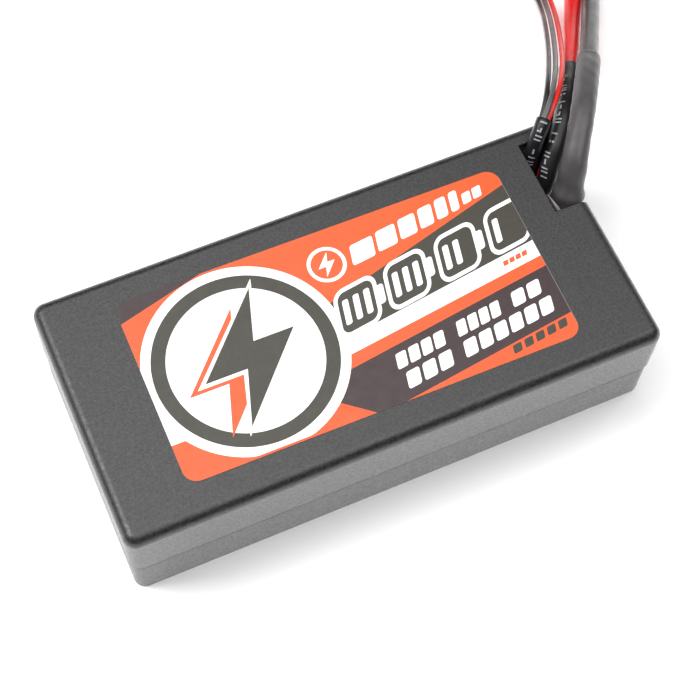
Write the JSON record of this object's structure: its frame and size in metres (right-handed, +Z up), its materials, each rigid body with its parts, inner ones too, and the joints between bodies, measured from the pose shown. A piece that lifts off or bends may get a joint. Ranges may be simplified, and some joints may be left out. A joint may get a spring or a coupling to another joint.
{
  "type": "lipo battery pack",
  "caption": "Flat hard-case lithium polymer battery pack for model cars: two glued black case halves, printed label on top, red and black leads with a T-style plug and a balance lead.",
  "frame": {"origin": "middle of the case's underside, at the height of the surface that the pack lies on", "axes": "+X along the case towards the end with the cable bay, +Y across the case towards the side where the leads leave, +Z up through the labelled face"},
  "size_m": [0.1328, 0.1211, 0.029],
  "materials": {
    "case_upper": "satin moulded black, fine texture",
    "case_lower": "satin moulded black, fine texture",
    "label_vinyl": "satin printed vinyl, orange-red, white and dark grey",
    "pouch_foil": "soft silver laminate pouch",
    "bond_tape": "double-sided tape",
    "foam": "matt black closed-cell foam",
    "nickel_tab": "plain nickel-plated strip",
    "aluminium_tab": "plain strip",
    "board_laminate": "green solder mask",
    "copper": "tinned copper areas",
    "amber_film": "thin amber film",
    "solder": "bright solder",
    "black_adhesive": "soft black adhesive",
    "black_silicone": "matt silicone insulation",
    "red_silicone": "matt silicone insulation",
    "shrink_sleeve": "satin heat-shrink tube, dark grey-black",
    "printed_sleeve": "satin heat-shrink tube with plain white marks",
    "black_wire": "thin insulated wire",
    "grey_wire": "thin insulated wire",
    "red_wire": "thin insulated wire",
    "white_nylon": "off-white nylon",
    "tinned_contact": "tinned spring contact",
    "black_boot": "satin heat-shrink boot",
    "red_boot": "satin heat-shrink boot",
    "red_nylon": "moulded red nylon",
    "gilt_contact": "gold-plated spring contact"
  },
  "bodies": {
    "root": {"top_case": "case_upper", "bottom_case": "case_lower", "top_label": "label_vinyl", "lower_cell": "pouch_foil", "upper_cell": "pouch_foil", "cell_bond_tape": "bond_tape", "bottom_foam_pad": "foam", "top_foam_pad": "foam", "end_foam_block": "foam", "lower_negative_tab": "nickel_tab", "lower_positive_tab": "aluminium_tab", "upper_negative_tab": "nickel_tab", "upper_positive_tab": "aluminium_tab", "tab_board": "board_laminate", "board_pads": "copper", "board_insulator": "amber_film", "tab_solder": "solder", "lead_solder": "solder", "lead_adhesive": "black_adhesive", "negative_lead": "black_silicone", "positive_lead": "red_silicone", "negative_sleeve": "shrink_sleeve", "positive_sleeve": "printed_sleeve", "balance_wire_black": "black_wire", "balance_wire_middle": "grey_wire", "balance_wire_red": "red_wire", "balance_sleeve": "printed_sleeve", "balance_housing": "white_nylon", "balance_contacts": "tinned_contact", "negative_boot": "black_boot", "positive_boot": "red_boot", "plug_housing": "red_nylon", "negative_contact": "gilt_contact", "positive_contact": "gilt_contact"}
  },
  "joints": []
}
